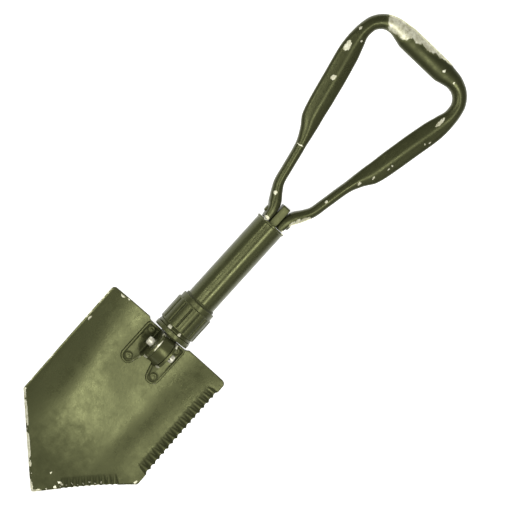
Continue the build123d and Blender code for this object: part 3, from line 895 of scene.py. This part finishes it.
def groove_shape(start, end):
    """Radius of the collar with its axial grooves from start to end, and a crown between them."""
    step = 2 * math.pi / GROOVES
    first = math.radians(GROOVE_START)

    def shape(angles, x, r):
        if r < COLLAR_RADIUS - 1.5:
            return np.full(len(angles), float(r))
        off = np.abs((angles - first + step / 2) % step - step / 2) * r
        inside = unit(min(x - start, end - x) / 1.4)
        half_width, depth, crown_rise = 1.15, 0.80, 0.14
        hollow = depth * unit(1 - (off / half_width) ** 2) ** 0.7
        crown = crown_rise * np.cos((angles - first) * GROOVES)
        return r - hollow * math.sqrt(inside) - crown_rise - crown

    return shape


def make_collar():
    x0, x1 = low("lock_collar")[0], high("lock_collar")[0]
    shoulder = x1 - 8.6
    neck = x1 - 2.6
    profile = [(x0, COLLAR_BORE), (x0, COLLAR_RADIUS), (shoulder, COLLAR_RADIUS), (shoulder, 19.3),
               (neck, 19.3), (neck, 17.0), (x1, 17.0), (x1, COLLAR_BORE)]

    # painted shade: the neck at the collar's top end, where the collar meets the tube, and the bottoms of the
    # grooves
    def darkening(x, y, z):
        radius = np.hypot(y, z - shaft_z)
        in_neck = (x > neck - 0.2) * 0.9
        in_groove = (x > x0 + 1) * (x < x0 + 27) * unit((COLLAR_RADIUS - 0.35 - radius) / 0.4)
        return np.maximum(in_neck, in_groove * (radius > 19.7) * 0.9)

    shell = spun(profile, 0.8, segments=GROOVES * 34, shape=groove_shape(x0 + 1.6, x0 + 26.4), divide=0.7)
    paint = olive_paint("paint_collar", edge_wear=0.22, scuff=0.5, darkening=0.25, rough=0.32, tint=0.85)
    piece("collar_skin", shell, "collar", paint, ["lock_collar"], sharp=55,
          soil_and_shade=darkening)


def make_snap_ring():
    x0, x1 = low("collar_snap_ring")[0], high("collar_snap_ring")[0]
    profile = [(x0, 17.6), (x0, 19.6), (x0 + 1.2, 19.9), (x1 - 1.3, 19.4), (x1, 19.0), (x1, 17.6)]
    # two bare-metal spots where the lights glint on the ring: painted highlights
    spots = [
        ((x0 + 1.6, 9.9, shaft_z + 17.2), (2.4, 2.2, 2.6)),
        ((x0 + 1.6, -2.1, shaft_z + 19.8), (2.0, 1.6, 2.0)),
    ]
    paint = olive_paint("paint_snap_ring", edge_wear=0.25, spots=spots, scuff=0.4, darkening=0.7, tint=0.75,
                        spot_warp=0.8)
    piece("snap_ring_skin", spun(profile, 0.35), "collar", paint, ["collar_snap_ring"],
          sharp=50)


def make_tube():
    x0 = low("shaft_tube")[0]
    profile = [(x0, TUBE_BORE), (x0, TUBE_RADIUS)]
    # four thread grooves under the collar
    for i in range(4):
        start, end, root = x0 + 2 + i * 3.0, x0 + 3.5 + i * 3.0, 15.4
        profile += [(start, TUBE_RADIUS), (start, root), (end, root), (end, TUBE_RADIUS)]
    # the rolled rim
    profile += [(rim_x - 2.6, TUBE_RADIUS), (rim_x - 2.1, 16.7), (rim_x - 0.2, 16.7),
                (rim_x, TUBE_BORE + 0.3), (rim_x - 1.2, TUBE_BORE)]
    spots = [((rim_x - 0.4, 10.6, shaft_z + 12.6), (0.9, 1.8, 1.8)),
             ((rim_x - 0.3, -12.5, shaft_z + 10.8), (0.7, 1.8, 1.6))]
    paint = olive_paint("paint_tube", edge_wear=0.24, spots=spots, scuff=0.28, darkening=0.08, rough=0.24,
                        tint=0.85, spot_warp=0.6)
    piece("tube_skin", spun(profile, 0.35, segments=160, divide=3.0), "tube", paint, ["shaft_tube"],
          sharp=50)


# ---- handle ----
GRIP_X = 228.5  # the middle of the grip, from the tube's rim
RIDGE_ROUND = 0.20  # how rounded the pressed ridge is, as a part of the leg's half width
# from the rim, across to the middle, width, thickness, squareness (2 is an ellipse), heading,
# height of the pressed ridge along the middle
HANDLE = np.array([
    (0.6, 8.6, 8.2, 15.6, 3.4, 0, 0.0),
    (11.0, 9.9, 10.8, 15.8, 3.2, 0, 0.2),
    (20.0, 13.4, 13.0, 14.8, 2.8, 22, 0.5),
    (28.0, 18.6, 11.8, 13.2, 2.6, 32, 0.7),
    (37.0, 23.3, 10.8, 12.2, 2.5, 20, 0.8),
    (52.0, 26.6, 10.6, 12.0, 2.5, 12, 0.8),
    (76.0, 31.7, 10.9, 12.0, 2.6, 13, 0.9),
    (92.0, 36.7, 15.2, 12.0, 2.7, 17, 1.4),
    (105.0, 42.2, 21.0, 12.2, 2.8, 15, 2.0),
    (130.0, 48.1, 23.0, 12.4, 2.9, 12, 2.4),
    (152.0, 52.8, 23.2, 12.4, 2.9, 12, 2.4),
    (174.0, 57.9, 22.8, 12.4, 2.8, 13, 2.2),
    (190.0, 61.3, 19.6, 12.6, 2.5, 9, 1.4),
    (202.0, 62.8, 15.6, 13.2, 2.2, 0, 0.5),
    (212.5, 61.4, 14.6, 13.8, 2.1, -18, 0.1),
    (221.4, 56.2, 15.2, 14.2, 2.1, -41, 0.0),
    (227.0, 48.0, 16.4, 14.6, 2.1, -65, 0.0),
    (229.0, 39.0, 18.6, 15.1, 2.2, -82, 0.0),
    (GRIP_X + 0.2, 31.0, 21.2, 15.6, 2.3, -88, 0.0),
    (GRIP_X, 24.0, 23.8, 16.0, 2.10, -90, 0.0),
    (GRIP_X, 12.0, 24.0, 16.0, 2.10, -90, 0.0),
    (GRIP_X, 0.0, 24.0, 16.0, 2.10, -90, 0.0),
])


def smooth_between(table, steps):
    """Rows between the table's rows on a monotone cubic, so that nothing overshoots."""
    rows = np.asarray(table, float)
    chord = np.r_[0, np.cumsum(np.hypot(np.diff(rows[:, 0]), np.diff(rows[:, 1])))]
    gap = np.diff(chord)[:, None]
    slope = np.diff(rows, axis=0) / gap
    tangent = np.zeros_like(rows)
    same_way = slope[:-1] * slope[1:] > 0
    weight_a, weight_b = 2 * gap[1:] + gap[:-1], gap[1:] + 2 * gap[:-1]
    with np.errstate(divide="ignore", invalid="ignore"):
        harmonic = (weight_a + weight_b) / (weight_a / slope[:-1] + weight_b / slope[1:])
    tangent[1:-1] = np.where(same_way, harmonic, 0)
    tangent[0], tangent[-1] = slope[0], 0
    tangent[-1, 1] = slope[-1, 1]
    places = np.linspace(0, chord[-1], steps)
    index = np.clip(np.searchsorted(chord, places, side="right") - 1, 0, len(chord) - 2)
    h = chord[index + 1] - chord[index]
    t = ((places - chord[index]) / h)[:, None]
    h = h[:, None]
    return ((2 * t**3 - 3 * t**2 + 1) * rows[index] + (t**3 - 2 * t**2 + t) * h * tangent[index]
            + (-2 * t**3 + 3 * t**2) * rows[index + 1] + (t**3 - t**2) * h * tangent[index + 1])


def handle_ring(row, sign, points=96):
    """One section of the handle tube from a row of HANDLE; sign is -1 for the left leg."""
    from_rim, across, width, thick, power, heading, ridge = row
    angles = round_turn(points)
    c, s = np.cos(angles), np.sin(angles)
    outward = np.sign(c) * np.abs(c) ** (2 / power)
    upward = np.sign(s) * np.abs(s) ** (2 / power)
    roof = ridge * (1 - np.sqrt(outward**2 + RIDGE_ROUND**2)) * np.sign(s)
    roof = roof * np.minimum(1, np.abs(upward) * 1.6)
    out = width / 2 * outward
    up = (thick / 2 - ridge) * upward + roof
    turn = math.radians(heading)
    x = rim_x + from_rim - math.sin(turn) * out
    y = across + math.cos(turn) * out
    return np.stack([x, sign * y, shaft_z + up], 1)


# bare grip: overlapping patches, from the rim, across, half sizes in x, y and z, above the shaft
GRIP_WEAR = (
    (233.5, 42, 12.5, 12.5, 16, 3), (234.5, 31, 12.5, 9.0, 16, 3), (239.0, 18, 10.5, 9.5, 14, 1),
    (240.5, 4, 9.5, 13.0, 13, 1), (242.5, -10, 7.8, 12.0, 12, 0), (243.5, -21, 6.5, 9.0, 11, 0),
)
# bare feet beside the tongue, in the same form
FOOT_WEAR = (
    (13.5, -14.6, 4.6, 2.6, 6, 4), (18.5, -17.4, 4.8, 2.6, 6, 4), (23.5, -21.2, 4.8, 2.6, 6, 4),
    (28, -23.8, 3.2, 2.0, 6, 4), (1.6, 9.6, 2.2, 3.0, 4, 8), (1.2, -12.4, 1.2, 2.2, 5, 6),
)
# chips in the top of the legs and grip: from the rim, across, half sizes in x and y
LEG_CHIPS = (
    (180.5, 65.2, 5.2, 3.0), (184.5, 66.6, 3.0, 1.6), (149, 54.3, 3.2, 2.0), (203, 67.6, 1.9, 1.5),
    (194, 57.4, 1.6, 1.3), (77, 34.2, 0.8, 2.6), (78, 31.5, 0.7, 1.6), (26, 19.4, 2.2, 1.8),
    (53, -25.6, 1.9, 1.2), (89, -37.8, 2.4, 0.9), (103, -45.0, 1.7, 1.0), (120, -50.6, 1.3, 1.0),
    (125, -50.4, 1.0, 0.8), (190, -57.4, 6.2, 1.3), (186, -56.6, 3.0, 1.2), (168, -63.4, 1.6, 0.8),
    (163, -61.0, 1.0, 0.7), (229, -24.3, 1.8, 1.3), (227, -40, 1.6, 1.1),
)
CHIP_HALF_HEIGHT, CHIP_LEVEL = 5.0, 6


def handle_darkening(x, y, _):
    """Darker, duller paint on the grip and towards the feet."""
    on_grip = unit((x - rim_x - 216) / 4) * unit((46 - np.abs(y - 2)) / 8)
    return 0.5 * on_grip + 0.25 * unit((rim_x + 14 - x) / 8)


def make_handle():
    rows = smooth_between(HANDLE, 320)
    left = [handle_ring(row, 1) for row in rows]
    right = [handle_ring(row, -1) for row in rows[:-1]][::-1]
    rings = left + right
    # each foot's end face is a little smaller than the tube, which rounds its edge
    foot = [r.mean(0) + (r - r.mean(0)) * 0.93 - np.array([0.25, 0, 0]) for r in (rings[0], rings[-1])]
    rings = [foot[0], *rings, foot[1]]
    chips = [(*chip, CHIP_HALF_HEIGHT, CHIP_LEVEL) for chip in LEG_CHIPS]
    spots = [((rim_x + from_rim, y, shaft_z + level), half_sizes)
             for from_rim, y, *half_sizes, level in (*GRIP_WEAR, *chips, *FOOT_WEAR)]
    paint = olive_paint("paint_handle", edge_wear=0.05, spots=spots, scuff=0.25, darkening=0.15, rough=0.27,
                        tint=0.62, spot_warp=1.4)
    piece("handle_skin", skin(rings), "handle", paint, ["handle_frame"], sharp=60,
          soil_and_shade=handle_darkening)


def make_tongue():
    end, start = high("handle_tongue")[0], rim_x - 14
    half = 6.5
    corners = [(start, shaft_z - half, 1), (end, shaft_z - half, 2.2), (end, shaft_z + half, 2.2),
               (start, shaft_z + half, 1)]
    flat_part = plate(rounded(corners, 1.0), upright(-4.25, 1), flat_round(8.5, 0.8))
    boss_start, boss_end = rim_x - 30, rim_x - 12
    boss = spun([(boss_start, 8.0), (boss_start, 11.5), (boss_end, 11.5), (boss_end, 2.0),
                 (rim_x - 15, 2.0)], 0.6)
    paint = olive_paint("paint_tongue", edge_wear=0.16, scuff=0.5, darkening=0.1, rough=0.36, tint=1.12)
    piece("tongue_skin", join(flat_part, boss), "core", paint, ["handle_tongue"], sharp=45)


def dress_hidden_parts():
    """The CAD nodes that stay as they are get their metals and nylon."""
    steel = bare_metal("steel_bar", (0.46, 0.45, 0.42, 1), (0.30, 0.29, 0.26, 1), rough=0.30, metallic=0.9,
                       brush=(6, 1, 1))
    pin_steel = bare_metal("steel_cross_pin", (0.52, 0.51, 0.48, 1), (0.36, 0.35, 0.31, 1), rough=0.32,
                           metallic=0.9)
    bush = nylon("nylon_bush")
    for node, material in (
        ("core_bar", steel), ("knuckle_cross_pin", pin_steel), ("tongue_cross_pin", pin_steel),
        ("lower_guide_bush", bush), ("upper_guide_bush", bush),
    ):
        thing = frame["nodes"][node]
        thing.data.materials.clear()
        thing.data.materials.append(material)


# ---- stage ----
def make_floor():
    mesh = bpy.data.meshes.new("floor")
    half = 6.0  # metres
    corners = [(-half, -half, 0), (half, -half, 0), (half, half, 0), (-half, half, 0)]
    mesh.from_pydata(corners, [], [(0, 1, 2, 3)])
    floor = added("floor", mesh)
    s = Shader("pale_floor")
    s.set("Base Color", (0.93, 0.93, 0.915, 1))
    s.set("Roughness", 0.9)
    s.set("Specular IOR Level", 0.1)
    s.set("Emission Color", (1, 1, 1, 1))
    s.set("Emission Strength", 0.8)
    mesh.materials.append(s.material)
    floor.location.z = -0.0005  # just below the object


LIGHT_DISTANCE = 1.7  # metres, from the shaft


def softbox(name, roll, x, size_x, size_y, power):
    """An area light facing the shaft at x metres: roll degrees from straight up towards +Y."""
    light = bpy.data.lights.new(name, "AREA")
    light.shape = "RECTANGLE"
    light.size, light.size_y = size_x, size_y
    light.energy = power
    lamp = added(name, light)
    angle = math.radians(roll)
    lamp.location = (x, LIGHT_DISTANCE * math.sin(angle), LIGHT_DISTANCE * math.cos(angle))
    lamp.rotation_euler = (-angle, 0, 0)


def make_lights():
    world = bpy.data.worlds.new("studio")
    bpy.context.scene.world = world
    world.use_nodes = True
    background = world.node_tree.nodes["Background"]
    background.inputs["Color"].default_value = (1.0, 1.0, 0.98, 1)
    background.inputs["Strength"].default_value = 0.32
    # narrow lights for the streaks on the blade and the tube, wide ones for the blade's sides
    softbox("blade_key", -17.5, -0.33, 0.34, 0.11, 3.7)
    softbox("shaft_key", -13.0, 0.07, 0.42, 0.15, 7.6)
    softbox("shaft_fill", 42.0, -0.05, 0.32, 0.16, 2.6)
    softbox("wash", 20.0, -0.32, 0.60, 0.56, 8.6)
    softbox("side_wash", -46.0, -0.05, 0.90, 0.50, 1.0)


def make_camera():
    """The photograph's view: from above and a little from the +Y side, the shaft across it."""
    shaft_angle = 47.59  # degrees of the shaft in the picture, from level
    tilt_angles = (-12.34, 0.47, -0.26)  # degrees off straight down, round the picture's axes
    place = (0.0407, 0.3787, 1.7794)  # metres
    data = bpy.data.cameras.new("camera")
    data.sensor_width = 36.0
    data.lens = 127.86
    camera = added("camera", data)
    a = math.radians(shaft_angle)
    flat = Matrix(((math.cos(a), math.sin(a), 0), (-math.sin(a), math.cos(a), 0), (0, 0, 1)))
    turn = Vector([math.radians(angle) for angle in tilt_angles])
    tilt = Matrix.Rotation(turn.length, 3, turn.normalized())
    camera.matrix_world = Matrix.Translation(place) @ (tilt @ flat).to_4x4()
    bpy.context.scene.camera = camera
    bpy.context.scene.view_settings.view_transform = "Standard"


make_camera()
make_lights()
make_floor()
make_blade()
for side, sign in (("left", -1), ("right", 1)):
    make_bracket(side, sign)
make_rivets()
make_blade_pin()
make_knuckle()
make_thrust_ring()
make_collar()
make_snap_ring()
make_tube()
make_handle()
make_tongue()
make_handle_pin()
dress_hidden_parts()
